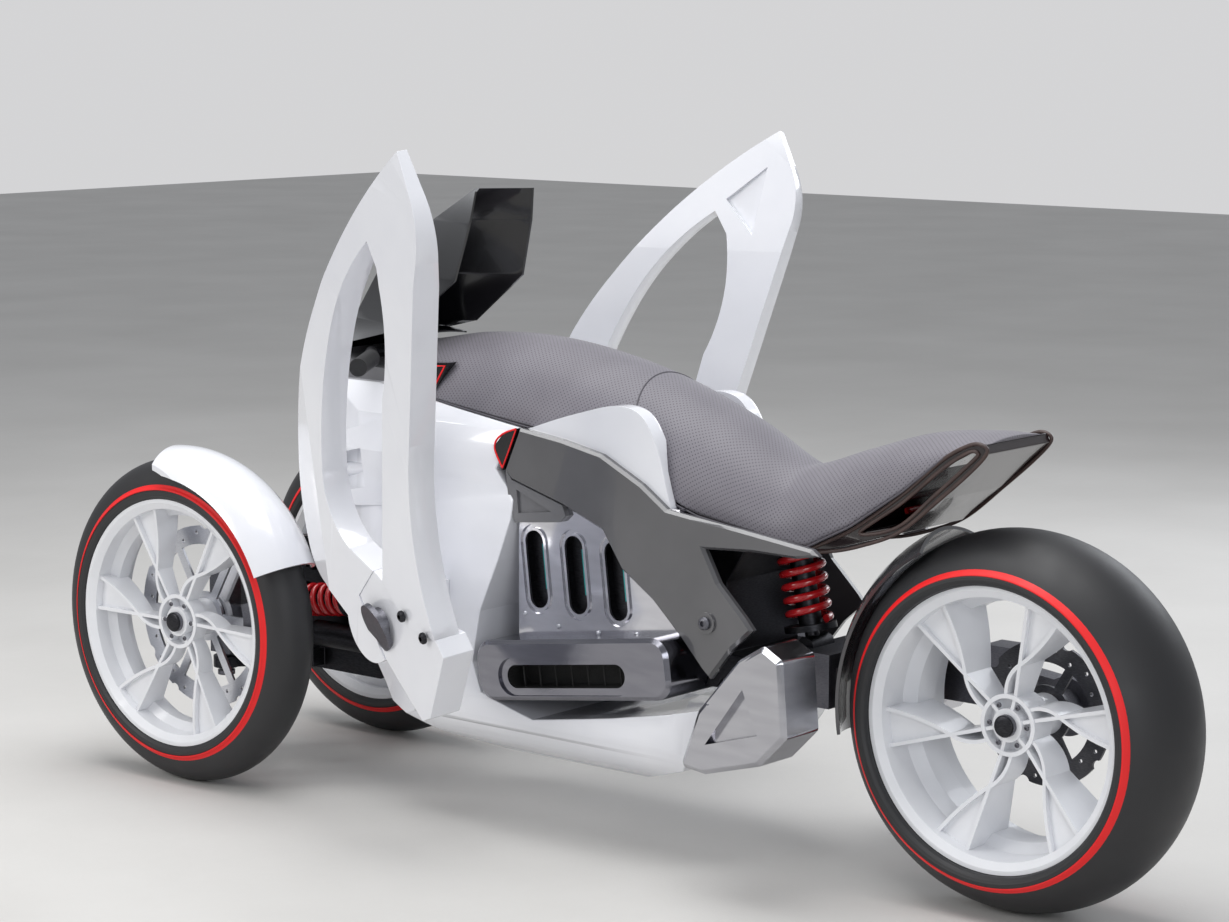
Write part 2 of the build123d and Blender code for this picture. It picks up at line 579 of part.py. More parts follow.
dash_pod -= windscreen
dash_pod -= bar(on_stem(8), on_stem(90), 14 + RUNNING_GAP)
save("dash_pod", dash_pod.solids().sort_by(SortBy.VOLUME)[-1])

# Handlebar: one bent tube over the stem, swept back to the grips
handlebar = bar(on_stem(9), on_stem(60), 14)
handlebar += bar((-100, -508, 802), (100, -508, 802), 11)
for side in (-1, 1):
    handlebar += bar((side * 100, -508, 802), (side * 150, -459, 800), 11)
    handlebar += bar((side * 150, -459, 800), (side * 240, -404, 795), 11)
save("handlebar", handlebar)
grip = bar((154, -456.6, 799.8), (243, -402.2, 794.8), 16) - handlebar
save("grips", pair(grip))

# Side displays: a small window on each flank of the tank
display = side_prism([(-363, 752), (-363, 796), (-296, 801), (-329, 748)], 90, 126) - saddle
save("side_displays", pair(display.solids().sort_by(SortBy.VOLUME)[-1]))
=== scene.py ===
# %% [markdown]
# # Three-wheeled motorcycle
# A reverse trike: two steered wheels in front, one wide wheel behind, two tall white hoops,
# a long perforated saddle and a slotted engine. The CAD model gives every place and size.
# This script gives the surfaces: paint, rubber, leather and metal, the soft saddle and the trim.
# Lengths are in metres, with x to the left, y to the rear and z up, unless a line says otherwise.

# %% Load the frame
import bpy
import math
from mathutils import Matrix, Vector


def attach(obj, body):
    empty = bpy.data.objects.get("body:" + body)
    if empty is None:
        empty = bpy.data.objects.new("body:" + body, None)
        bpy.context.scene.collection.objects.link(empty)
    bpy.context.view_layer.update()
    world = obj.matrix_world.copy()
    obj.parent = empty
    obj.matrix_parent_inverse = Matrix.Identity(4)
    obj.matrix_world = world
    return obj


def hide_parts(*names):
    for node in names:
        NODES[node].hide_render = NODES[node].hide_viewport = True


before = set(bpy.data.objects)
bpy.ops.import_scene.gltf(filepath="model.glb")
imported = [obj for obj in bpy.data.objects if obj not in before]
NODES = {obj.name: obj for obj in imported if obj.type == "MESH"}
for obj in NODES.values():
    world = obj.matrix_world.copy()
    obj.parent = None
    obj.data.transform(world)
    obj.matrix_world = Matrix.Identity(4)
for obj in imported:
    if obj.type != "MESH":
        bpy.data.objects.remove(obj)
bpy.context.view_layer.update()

# %% [markdown]
# The trim on a wheel has to sit on that wheel's axle. The axles could be typed again wherever
# they are needed, but one set of names, used by the rubber, the stripes and the hubs, keeps
# everything on centre.

# %% Axles
FRONT_AXLE = (-0.8205, 0.300)  # as (y, z)
REAR_AXLE = (0.8145, 0.306)
TRACK_HALF = 0.2625
SIDES = (("left", 1), ("right", -1))
print("wheelbase", round(REAR_AXLE[0] - FRONT_AXLE[0], 4), "track", 2 * TRACK_HALF)

# %% [markdown]
# The camera stands where the photograph was taken from: 5.4 m away at the rider's left rear,
# 1.43 m above the ground, with a long lens. Its place was fitted to the rims and tyres. It
# could be aimed by a constraint, but three angles and a place give the fitted view exactly.

# %% Camera
YAW = math.radians(39.67)
PITCH = math.radians(8.27)
ROLL = math.radians(0.14)
CAMERA_PLACE = (4.1825, 3.4446, 1.4297)
LENS_MM = 93.06
ahead = math.cos(PITCH)
forward = Vector((-math.cos(YAW) * ahead, -math.sin(YAW) * ahead, -math.sin(PITCH)))
flat_right = Vector((-math.sin(YAW), math.cos(YAW), 0))
flat_up = flat_right.cross(forward)
right = math.cos(ROLL) * flat_right + math.sin(ROLL) * flat_up
up = math.cos(ROLL) * flat_up - math.sin(ROLL) * flat_right
camera_data = bpy.data.cameras.new("photo_camera")
camera_data.lens = LENS_MM
camera_data.sensor_width = 36.0
camera = bpy.data.objects.new("photo_camera", camera_data)
turn = Matrix((right, up, -forward)).transposed().to_4x4()
camera.matrix_world = Matrix.Translation(CAMERA_PLACE) @ turn
bpy.context.collection.objects.link(camera)
bpy.context.scene.camera = camera
print("camera at", CAMERA_PLACE, "lens", LENS_MM)

# %% [markdown]
# A studio has two kinds of light: a soft glow from all round, and lamps that shape the form.
# The glow comes from the world. A picture of a studio could give it, but two plain backgrounds
# are enough: a dim bluish one lights the vehicle, and a pale one is all that the camera sees.

# %% Surrounding light
bpy.context.scene.view_settings.view_transform = "Standard"
world = bpy.data.worlds.new("studio")
bpy.context.scene.world = world
world.use_nodes = True
sky = world.node_tree
soft = sky.nodes["Background"]
soft.inputs["Color"].default_value = (0.86, 0.88, 0.92, 1)
soft.inputs["Strength"].default_value = 0.46
pale = sky.nodes.new("ShaderNodeBackground")
pale.inputs["Color"].default_value = (0.66, 0.66, 0.67, 1)
pale.inputs["Strength"].default_value = 1.0
seen = sky.nodes.new("ShaderNodeLightPath")
choose = sky.nodes.new("ShaderNodeMixShader")
sky.links.new(seen.outputs["Is Camera Ray"], choose.inputs[0])
sky.links.new(soft.outputs[0], choose.inputs[1])
sky.links.new(pale.outputs[0], choose.inputs[2])
sky.links.new(choose.outputs[0], sky.nodes["World Output"].inputs["Surface"])
print("world", world.name)

# %% [markdown]
# Four large lamps do the shaping. The largest hangs over the vehicle. A warm one at the left
# front and a cooler one at the left rear light the side that the camera sees, and one on the
# right lifts the far edges. Wide panels are used because plating mirrors them as soft bands.

# %% Lamps


def area_light(name, place, target, size, power, tint=(1, 1, 1)):
    data = bpy.data.lights.new(name, "AREA")
    data.shape = "RECTANGLE"
    data.size, data.size_y = size
    data.energy = power
    data.color = tint
    lamp = bpy.data.objects.new(name, data)
    lamp.location = place
    aim = Vector(target) - Vector(place)
    lamp.rotation_euler = aim.to_track_quat("-Z", "Y").to_euler()
    bpy.context.collection.objects.link(lamp)
    print("lamp", name, power, "W")


area_light("over", (0.3, -0.2, 4.2), (0, 0, 0.4), (4.2, 3.0), 150)
area_light("left_front", (4.4, -2.4, 2.6), (0, -0.2, 0.5), (2.4, 2.0), 75, (1.0, 0.98, 0.95))
area_light("left_rear", (3.0, 4.2, 1.8), (0, 0.2, 0.5), (2.0, 1.6), 40, (0.95, 0.97, 1.0))
area_light("right_side", (-4.0, 0.6, 2.2), (0, 0, 0.6), (2.4, 1.8), 45, (0.92, 0.95, 1.0))

# %% [markdown]
# Every finish is a small graph of shader nodes. The nodes could be joined by hand in the
# editor, but a class with short names keeps each finish to a few readable lines. All patterns
# use the object's own coordinates, so nothing slides when a wheel or the bar turns.

# %% Wiring of a material


class Wires:
    """A new material, and short ways to add and join its nodes."""

    def __init__(self, name, coat=0.0):
        self.mat = bpy.data.materials.new(name)
        self.mat.use_nodes = True
        self.tree = self.mat.node_tree
        self.shader = self.tree.nodes["Principled BSDF"]
        self.shader.inputs["Coat Weight"].default_value = coat
        self.shader.inputs["Coat Roughness"].default_value = 0.04
        self.place = self.add("ShaderNodeTexCoord").outputs["Object"]

    def add(self, kind, **settings):
        node = self.tree.nodes.new(kind)
        for key, value in settings.items():
            setattr(node, key, value)
        return node

    def link(self, source, target):
        self.tree.links.new(source, target)

    def combine(self, kind, operation, *values):
        """A math node of either kind, fed by numbers, vectors or other nodes."""
        node = self.add(kind, operation=operation)
        for socket, value in zip(node.inputs, values):
            if isinstance(value, bpy.types.NodeSocket):
                self.link(value, socket)
            else:
                socket.default_value = value
        return node

    def math(self, operation, *values):
        return self.combine("ShaderNodeMath", operation, *values).outputs[0]

    def vector(self, operation, *values):
        return self.combine("ShaderNodeVectorMath", operation, *values).outputs["Vector"]


# %% [markdown]
# Real surfaces are never even: paint has orange peel, castings have grain, rubber has dull and
# shiny patches. Noise gives all of these. One value drives the colour, another the roughness,
# and a fine one the bump, which only tilts the light and so costs no faces.

# %% Patterns of a material


class Look(Wires):
    """The patterns that the finishes of this vehicle are built from."""

    def noise(self, scale, detail=3.0, place=None):
        node = self.add("ShaderNodeTexNoise")
        node.inputs["Scale"].default_value = scale
        node.inputs["Detail"].default_value = detail
        self.link(place or self.place, node.inputs["Vector"])
        return node.outputs[0]

    def ramp(self, source, *stops):
        """Two colours, each with its place from 0 to 1, blended by a value."""
        node = self.add("ShaderNodeValToRGB")
        for element, (at, colour) in zip(node.color_ramp.elements, stops):
            element.position = at
            element.color = (*colour, 1)
        self.link(source, node.inputs[0])
        return node.outputs[0]

    def spread(self, source, low, high):
        """A value from 0 to 1 stretched to run from low to high."""
        node = self.add("ShaderNodeMapRange")
        self.link(source, node.inputs["Value"])
        node.inputs["To Min"].default_value = low
        node.inputs["To Max"].default_value = high
        return node.outputs[0]

    def bump(self, height, strength, distance):
        node = self.add("ShaderNodeBump")
        node.inputs["Strength"].default_value = strength
        node.inputs["Distance"].default_value = distance
        self.link(height, node.inputs["Height"])
        self.link(node.outputs[0], self.shader.inputs["Normal"])

    def colour(self, source):
        self.link(source, self.shader.inputs["Base Color"])

    def rough(self, source):
        self.link(source, self.shader.inputs["Roughness"])


# %% [markdown]
# The painted shells are cold white lacquer over plastic, with a clear coat and a trace of
# orange peel. The wheels wear the same white, a little duller. The side panels are a dark
# grey lacquer, and the screen, lenses and displays are black gloss. One recipe makes them all,
# because they differ only in colour, in how rough they are and in how much clear coat they have.

# %% Recipe for paint
PEEL_SCALE = 420
PEEL_DEPTH = 0.0006


def paint(name, low, high, rough, coat=1.0, scale=6.0):
    """Roughness runs from 0, a mirror, to 1, chalk; a larger scale makes finer patches."""
    look = Look(name, coat)
    look.colour(look.ramp(look.noise(scale), (0.3, low), (0.7, high)))
    look.rough(look.spread(look.noise(scale * 9), rough * 0.8, rough * 1.25))
    look.bump(look.noise(PEEL_SCALE, 2), 0.12, PEEL_DEPTH)
    return look.mat


# %% [markdown]
# Each paint is named for the piece that wears it. Low and high are the darkest and lightest
# tone of the same colour, so close that the eye reads one colour with a little life in it.

# %% Paints
WHITE = paint("white_lacquer", (0.80, 0.81, 0.86), (0.86, 0.87, 0.91), 0.22)
WHEEL_WHITE = paint("wheel_white", (0.78, 0.79, 0.82), (0.84, 0.85, 0.88), 0.33, 0.4, 12)
PANEL_GREY = paint("panel_grey", (0.070, 0.070, 0.076), (0.092, 0.091, 0.098), 0.24)
TRIM_GREY = paint("trim_grey", (0.12, 0.12, 0.13), (0.16, 0.16, 0.17), 0.34, 0.4)
BLACK_GLOSS = paint("black_gloss", (0.004, 0.004, 0.005), (0.008, 0.008, 0.010), 0.16, 0.25)
SOOT_BLACK = paint("soot_black", (0.004, 0.004, 0.004), (0.009, 0.009, 0.009), 0.7, 0.0, 40)
RED_GLOSS = paint("red_gloss", (0.50, 0.008, 0.012), (0.62, 0.014, 0.020), 0.25)
STRIPE_RED = paint("stripe_red", (0.80, 0.006, 0.008), (0.88, 0.010, 0.012), 0.5, 0.0)
TAIL_BROWN = paint("tail_brown", (0.038, 0.020, 0.018), (0.060, 0.033, 0.028), 0.42, 0.2, 30)
TAIL_BLACK = paint("tail_black", (0.010, 0.006, 0.007), (0.018, 0.011, 0.012), 0.22, 0.5)
TAIL_LAMP = paint("tail_lamp", (0.20, 0.006, 0.006), (0.30, 0.010, 0.010), 0.2)
TEAL = paint("teal_strip", (0.02, 0.30, 0.30), (0.03, 0.38, 0.38), 0.25)
GRIP_RUBBER = paint("grip_rubber", (0.012, 0.012, 0.013), (0.022, 0.022, 0.024), 0.6, 0.0, 60)
SEAM_THREAD = paint("seam_thread", (0.075, 0.070, 0.085), (0.10, 0.095, 0.11), 0.6, 0.0, 80)
print("materials so far", len(bpy.data.materials))

# %% [markdown]
# Bare metal has no clear coat and mirrors its surroundings, so its colour tints what it
# mirrors. Its grain is a noise that is squeezed along z, which reads as fine brushing. A low
# grain with little bump gives bright plating, a high one a cast or turned surface.

# %% Recipe for metal
GRAIN_SQUEEZE = (1, 1, 6)


def metal(name, low, high, rough, grain, bump=0.0004):
    look = Look(name)
    stretch = look.add("ShaderNodeMapping")
    stretch.inputs["Scale"].default_value = GRAIN_SQUEEZE
    look.link(look.place, stretch.inputs["Vector"])
    fine = look.noise(grain, 4, stretch.outputs[0])
    look.colour(look.ramp(fine, (0.35, low), (0.65, high)))
    look.rough(look.spread(look.noise(22), rough * 0.75, rough * 1.3))
    look.shader.inputs["Metallic"].default_value = 1.0
    look.bump(fine, 0.15, bump)
    return look.mat


# %% [markdown]
# The engine covers and the exhaust box are bright plated castings, the foot pods polished
# alloy, and the knuckles and the swingarm grey castings. Frame and arms are dark. The front
# brake discs are bright steel and the rear one is dark, both with a fine grain.

# %% Metals
CHROME = metal("engine_chrome", (0.56, 0.56, 0.60), (0.62, 0.62, 0.66), 0.11, 12, 0.0001)
EXHAUST = metal("exhaust_chrome", (0.22, 0.22, 0.25), (0.25, 0.25, 0.28), 0.17, 12, 0.0001)
ALLOY = metal("polished_alloy", (0.42, 0.42, 0.45), (0.47, 0.47, 0.50), 0.17, 10, 0.0001)
STEEL = metal("disc_steel", (0.62, 0.63, 0.67), (0.70, 0.71, 0.75), 0.34, 160)
CAST = metal("cast_grey", (0.13, 0.13, 0.15), (0.19, 0.19, 0.21), 0.42, 240, 0.0008)
DARK = metal("dark_metal", (0.030, 0.030, 0.034), (0.050, 0.050, 0.056), 0.40, 120)
DARK_DISC = metal("dark_disc", (0.060, 0.060, 0.066), (0.090, 0.090, 0.098), 0.36, 160)
print("materials so far", len(bpy.data.materials))

# %% [markdown]
# Tyres are satin black rubber whose sidewalls carry fine moulded rings. The rings could be
# modelled, but they are about half a millimetre deep, so a bump is enough: the distance from
# the axle goes into a sine, and the sine is switched off where the sidewall ends.

# %% Rubber
RING_WAVES = 1400.0
SIDEWALL_END = 0.246


def rubber(name, y, z):
    look = Look(name)
    from_axle = look.vector("SUBTRACT", look.place, (0, y, z))
    flat = look.vector("MULTIPLY", from_axle, (0, 1, 1))
    length = look.combine("ShaderNodeVectorMath", "LENGTH", flat)
    radius = length.outputs["Value"]
    grain = look.noise(700, 2)
    look.colour(look.ramp(grain, (0.2, (0.018, 0.018, 0.020)), (0.5, (0.020, 0.020, 0.022))))
    look.rough(look.spread(look.noise(18), 0.42, 0.60))
    rings = look.math("SINE", look.math("MULTIPLY", radius, RING_WAVES))
    side = look.math("LESS_THAN", radius, SIDEWALL_END)
    ringed = look.math("MULTIPLY", rings, side)
    look.bump(look.math("ADD", ringed, look.math("MULTIPLY", grain, 0.7)), 0.25, 0.0006)
    return look.mat


FRONT_RUBBER = rubber("front_rubber", *FRONT_AXLE)
REAR_RUBBER = rubber("rear_rubber", *REAR_AXLE)
print("rubber", FRONT_RUBBER.name, REAR_RUBBER.name)

# %% [markdown]
# The saddle's leather is punched in staggered rows of small holes. Thousands of real holes
# would be far too many faces, and a picture would need a file, so the rows are worked out by
# math nodes. They follow the cover's own measure, across and along, so the pitch stays even.

# %% Perforation
HOLE_PITCH = 0.0085
HOLE_RADIUS = 0.14  # as a share of the pitch


def perforation(look):
    """1 inside a hole and 0 outside it."""
    cover = look.add("ShaderNodeUVMap", uv_map="cover")
    split = look.add("ShaderNodeSeparateXYZ")
    look.link(cover.outputs[0], split.inputs[0])
    row = look.math("DIVIDE", split.outputs["Y"], HOLE_PITCH * 0.5)
    odd = look.math("MODULO", look.math("FLOOR", row), 2.0)
    column = look.math("DIVIDE", split.outputs["X"], HOLE_PITCH)
    staggered = look.math("ADD", column, look.math("MULTIPLY", odd, 0.5))
    dx = look.math("SUBTRACT", look.math("FRACT", staggered), 0.5)
    dy = look.math("MULTIPLY", look.math("SUBTRACT", look.math("FRACT", row), 0.5), 0.5)
    squares = look.math("ADD", look.math("MULTIPLY", dx, dx), look.math("MULTIPLY", dy, dy))
    return look.math("LESS_THAN", look.math("SQRT", squares), HOLE_RADIUS)


# %% [markdown]
# The leather itself is a cool grey with a violet cast. A broad noise gives its cloudy tone and
# a fine one its grain. The holes darken the colour and press the bump down, and a little sheen
# brightens the edges as on a matt hide.

# %% Leather


def leather(name):
    look = Look(name)
    hole = perforation(look)
    grain = look.noise(900, 3)
    broad = look.math("MULTIPLY", look.noise(9, 4), 0.7)
    tone = look.math("ADD", broad, look.math("MULTIPLY", grain, 0.3))
    skin = look.ramp(tone, (0.35, (0.165, 0.155, 0.180)), (0.65, (0.205, 0.195, 0.222)))
    # A colour mix keeps its two colours in sockets 6 and 7 and its result in output 2
    mix = look.add("ShaderNodeMix", data_type="RGBA")
    look.link(hole, mix.inputs["Factor"])
    look.link(skin, mix.inputs[6])
    mix.inputs[7].default_value = (0.060, 0.055, 0.068, 1)
    look.colour(mix.outputs[2])
    look.rough(look.spread(grain, 0.42, 0.62))
    look.shader.inputs["Sheen Weight"].default_value = 0.15
    look.bump(look.math("SUBTRACT", look.math("MULTIPLY", grain, 0.35), hole), 0.4, 0.0008)
    return look.mat


LEATHER = leather("perforated_leather")
print("materials in all", len(bpy.data.materials))

# %% [markdown]
# The CAD pieces keep their shapes and take these finishes. A table with one row to a finish
# shows at a glance what shares a look, and a loop puts each finish on its pieces.

# %% Finish the CAD pieces
FINISHES = {
    WHITE: ["body_shell", "left_hoop", "right_hoop", "hoop_brackets", "lamp_housings",
            "left_fender", "right_fender", "side_inserts"],
    WHEEL_WHITE: ["front_left_rim", "front_right_rim", "rear_rim"],
    PANEL_GREY: ["side_panels", "hugger"],
    TRIM_GREY: ["dash_pod", "vent_covers"],
    BLACK_GLOSS: ["windscreen", "blinkers", "side_displays"],
    TAIL_BLACK: ["tail_loop"],
    CHROME: ["engine_block"],
    EXHAUST: ["exhaust_box"],
    ALLOY: ["foot_pods"],
    STEEL: ["front_left_disc", "front_right_disc"],
    DARK_DISC: ["rear_disc"],
    CAST: ["left_knuckle", "right_knuckle", "swingarm", "rear_caliper", "pivot_caps"],
    DARK: ["front_beam", "upper_arms", "lower_arms", "front_dampers", "front_tubes",
           "rear_damper", "rear_frame", "handlebar"],
    RED_GLOSS: ["front_springs", "rear_spring"],
    FRONT_RUBBER: ["front_left_tyre", "front_right_tyre"],
    REAR_RUBBER: ["rear_tyre"],
    GRIP_RUBBER: ["grips"],
}
for finish, names in FINISHES.items():
    for name in names:
        data = NODES[name].data
        data.materials.clear()
        data.materials.append(finish)
print("finished", sum(len(names) for names in FINISHES.values()), "of", len(NODES))

# %% [markdown]
# A moulded or cast edge is never razor sharp: it is rounded by a millimetre or more and
# catches a thin line of light. The CAD facets are welded first, so that neighbours share their
# points, and then a bevel rounds each corner that is sharper than the limit.

# %% Soft edges
EDGE_MM = {"body_shell": 5.0, "left_hoop": 3.0, "right_hoop": 3.0, "hoop_brackets": 3.0,
           "lamp_housings": 2.5, "side_panels": 1.5, "foot_pods": 2.5, "windscreen": 1.0,
           "swingarm": 3.0, "front_beam": 2.0, "rear_frame": 2.0, "upper_arms": 1.5,
           "lower_arms": 1.5, "tail_loop": 2.0, "side_inserts": 2.0}
CORNER_LIMIT = math.radians(28)
for name, edge in EDGE_MM.items():
    piece = NODES[name]
    weld = piece.modifiers.new("weld", "WELD")
    weld.merge_threshold = 0.00005
    bevel = piece.modifiers.new("edge", "BEVEL")
    bevel.width = edge / 1000
    bevel.segments = 3
    bevel.limit_method = "ANGLE"
    bevel.angle_limit = CORNER_LIMIT
    bevel.harden_normals = True
print("soft edges on", len(EDGE_MM), "pieces")

# %% [markdown]
# New pieces are made from code, as meshes of points and faces or as round tubes along a line.
# Each one rides on the body that carries it, so that it turns with a wheel or stays with the
# chassis, and takes its finish.

# %% Helpers for new pieces


def add_piece(name, data, finish, body):
    data.materials.append(finish)
    piece = bpy.data.objects.new(name, data)
    bpy.context.collection.objects.link(piece)
    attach(piece, body)
    return piece


def mesh_piece(name, points, faces, finish, body, smooth=True):
    data = bpy.data.meshes.new(name)
    data.from_pydata([tuple(point) for point in points], [], faces)
    data.validate()
    for polygon in data.polygons:
        polygon.use_smooth = smooth
    return add_piece(name, data, finish, body)


def tube(name, points, radius, finish, body, closed=False):
    data = bpy.data.curves.new(name, "CURVE")
    data.dimensions = "3D"
    data.bevel_depth = radius
    data.bevel_resolution = 3
    spline = data.splines.new("POLY")
    spline.points.add(len(points) - 1)
    for point, place in zip(spline.points, points):
        point.co = (*place, 1)
    spline.use_cyclic_u = closed
    add_piece(name, data, finish, body)


# %% [markdown]
# Most of these meshes are grids: rows of points that are joined by four-sided faces. A grid
# that is joined to itself in one direction makes a ring or a cup. A lathed piece is such a
# ring, with its profile turned about the wheel's axle.

# %% Helpers for grids


def grid_faces(rows, columns, close_rows=False, close_columns=False):
    """Faces of a grid, whose last row or column may be joined to the first."""
    faces = []
    for r in range(rows if close_rows else rows - 1):
        here, after = r * columns, (r + 1) % rows * columns
        for k in range(columns if close_columns else columns - 1):
            beside = (k + 1) % columns
            faces.append((here + k, here + beside, after + beside, after + k))
    return faces


def lathe(name, centre, profile, finish, body, count):
    """A profile of (x, radius) turned about an axle across the vehicle."""
    x, y, z = centre
    points = []
    for step in range(count):
        angle = 2 * math.pi * step / count
        for outward, radius in profile:
            points.append((x + outward, y + radius * math.cos(angle), z + radius * math.sin(angle)))
    faces = grid_faces(count, len(profile), close_rows=True)
    mesh_piece(name, points, faces, finish, body)


# %% [markdown]
# Each sidewall carries a thin red ring, moulded just proud of the rubber. It could be painted
# by a material, but as a narrow band of its own it keeps a crisp edge and shows in any viewer.
# The band follows the sidewall: proud of its bulge below the crease, then round over the top.

# %% Tyre stripes
# Each point of a band is (outward from the crease, radius)
BULGE = [(0.0060, 0.2450), (0.0072, 0.2455), (0.0058, 0.2475), (0.0040, 0.2492), (0.0014, 0.2512)]
FRONT_BAND = BULGE + [(0.0008, 0.2535), (-0.0008, 0.2550)]
REAR_BAND = BULGE + [(-0.0008, 0.2535), (-0.0036, 0.2550)]
# Wheel: middle of the wheel, half its width at the crease, band
TYRES = {
    "front_left": ((TRACK_HALF, *FRONT_AXLE), 0.051, FRONT_BAND),
    "front_right": ((-TRACK_HALF, *FRONT_AXLE), 0.051, FRONT_BAND),
    "rear": ((0.0, *REAR_AXLE), 0.106, REAR_BAND),
}
for name, (middle, crease, band) in TYRES.items():
    for side, sign in (("a", 1), ("b", -1)):
        profile = [(sign * (crease + outward), radius) for outward, radius in band]
        lathe(f"{name}_stripe_{side}", middle, profile, STRIPE_RED, f"{name}_wheel",
              count=160)
print("stripes on", len(TYRES), "tyres")

# %% [markdown]
# A smooth line through a few chosen points is needed again and again: for the saddle, the tail
# fold and the blinkers. A Catmull-Rom curve passes through every point that it is given, which
# makes the shape easy to steer, where other curves only pull towards their points.

# %% Smooth lines


def between(before, start, end, after, t):
    """Catmull-Rom from start to end, at the share t of the way."""
    return tuple(0.5 * (2 * q + (r - p) * t + (2 * p - 5 * q + 4 * r - s) * t * t
                        + (3 * q - p - 3 * r + s) * t ** 3)
                 for p, q, r, s in zip(before, start, end, after))


def smooth_line(corners, parts, closed=False):
    """A smooth line through the corners, with each stretch cut into equal parts."""
    first, last = corners[0], corners[-1]
    chain = [last, *corners, *corners[:2]] if closed else [first, *corners, last]
    line = []
    for four in zip(chain, chain[1:], chain[2:], chain[3:]):
        line += [between(*four, part / parts) for part in range(parts)]
    return line if closed else [*line, last]


def even_places(start, end, steps):
    """Places from start to end, one equal step apart."""
    return [start + (end - start) * k / steps for k in range(steps + 1)]


# %% [markdown]
# The saddle is one long padded cover, crowned across and along, with its flanks rounding into
# the sides. It meets the raised tail in a sharp valley, so its sections come in two tables
# that share the valley's row. They are those of the CAD solid, in millimetres.

# %% Saddle sections
# Place along, half width, height of the flank, height of the crown
SEAT = [(-458, 94, 749, 826), (-314, 128, 750, 849), (-170, 139, 746, 852), (-27, 141, 728, 834),
        (117, 140, 690, 799), (260, 131, 634, 746), (404, 114, 588, 679)]
TAIL = [(404, 114, 588, 679), (523, 104, 650, 716), (642, 98, 704, 751), (762, 92, 744, 762)]
# Place along, height of the underside
UNDERSIDE = [(-458, 749), (-114, 705), (0, 692), (81, 673), (168, 632), (221, 600), (262, 586),
             (464, 552), (547, 594), (642, 660), (716, 722), (762, 748)]
FRONT_END, VALLEY, TAIL_END = SEAT[0][0], TAIL[0][0], TAIL[-1][0]


def section_sizes(table, y):
    """Half width, flank and crown at a place, smoothly between evenly spaced rows."""
    count = len(table) - 1
    share = (y - table[0][0]) / (table[-1][0] - table[0][0])
    place = min(max(share * count, 0), count - 1e-6)
    k = int(place)
    before, after = table[max(k - 1, 0)], table[min(k + 2, count)]
    return between(before, table[k], table[k + 1], after, place - k)[1:]


def underside_height(y):
    for (y0, z0), (y1, z1) in zip(UNDERSIDE, UNDERSIDE[1:]):
        if y <= y1:
            return z0 + (z1 - z0) * (y - y0) / (y1 - y0)
    return UNDERSIDE[-1][1]


print("saddle from", FRONT_END, "to", TAIL_END, "mm, valley at", VALLEY)

# %% [markdown]
# Foam under leather has no corners. A section is drawn with plain flanks and an arc for the
# crown, and then softened: each point moves towards its neighbours, again and again, until the
# hard shoulder has become a round one. A bevel would leave the flanks flat, and this doesn't.

# %% One section of the cover
EDGE_LIFT, FLANK_SWELL = 1.0, 1.5
FLANK_STEPS, CROWN_STEPS, SOFTENINGS = 6, 36, 24
ROLL_NARROWING = 0.1  # how much of its width a section loses as it closes to nothing


def flank_line(side, half, low, flank):
    line = []
    for k in range(FLANK_STEPS):
        out = half + FLANK_SWELL * math.sin(math.pi * k / FLANK_STEPS)
        line.append((side * out, low + (flank - low) * k / FLANK_STEPS))
    return line


def softened(line):
    inner = [((a[0] + 2 * b[0] + c[0]) / 4, (a[1] + 2 * b[1] + c[1]) / 4)
             for a, b, c in zip(line, line[1:], line[2:])]
    return [line[0], *inner, line[-1]]


def cover_section(y, shrink=1.0):
    """Right edge to left edge over the crown, as (x, z) in millimetres."""
    half, flank, crown = section_sizes(SEAT if y <= VALLEY else TAIL, y)
    low = underside_height(y) + EDGE_LIFT
    rise = crown - flank
    radius = (half * half + rise * rise) / (2 * rise)
    reach = math.asin(half / radius)
    line = flank_line(-1, half, low, flank)
    for a in even_places(-reach, reach, CROWN_STEPS):
        line.append((radius * math.sin(a), crown - radius + radius * math.cos(a)))
    line += reversed(flank_line(1, half, low, flank))
    for _ in range(SOFTENINGS):
        line = softened(line)
    centre = (low + crown) / 2
    narrow = 1 - ROLL_NARROWING * (1 - shrink)
    return [(x * narrow, centre + (z - centre) * shrink) for x, z in line]


# %% [markdown]
# The cover is a row of such sections, one about every 10 mm, and at each end the sections shrink
# through a quarter turn so that the leather rolls over. It takes the place of the CAD saddle. Its
# foam gives under a rider.

# %% Cover of the saddle
# How far an end rolls out, in mm, and the share of a section that it shrinks towards
NOSE_ROLL, NOSE_SHARE = -8, 0.35
TAIL_ROLL, TAIL_SHARE = 32, 0.3
SEAT_STEPS, TAIL_STEPS, ROLL_STEPS = 86, 36, 6


def rolled_end(y, reach, share):
    rolled = []
    for step in range(1, ROLL_STEPS):
        turned = math.pi / 2 * step / ROLL_STEPS
        shrink = share + (1 - share) * math.cos(turned)
        rolled.append((y + reach * math.sin(turned), cover_section(y, shrink)))
    return rolled


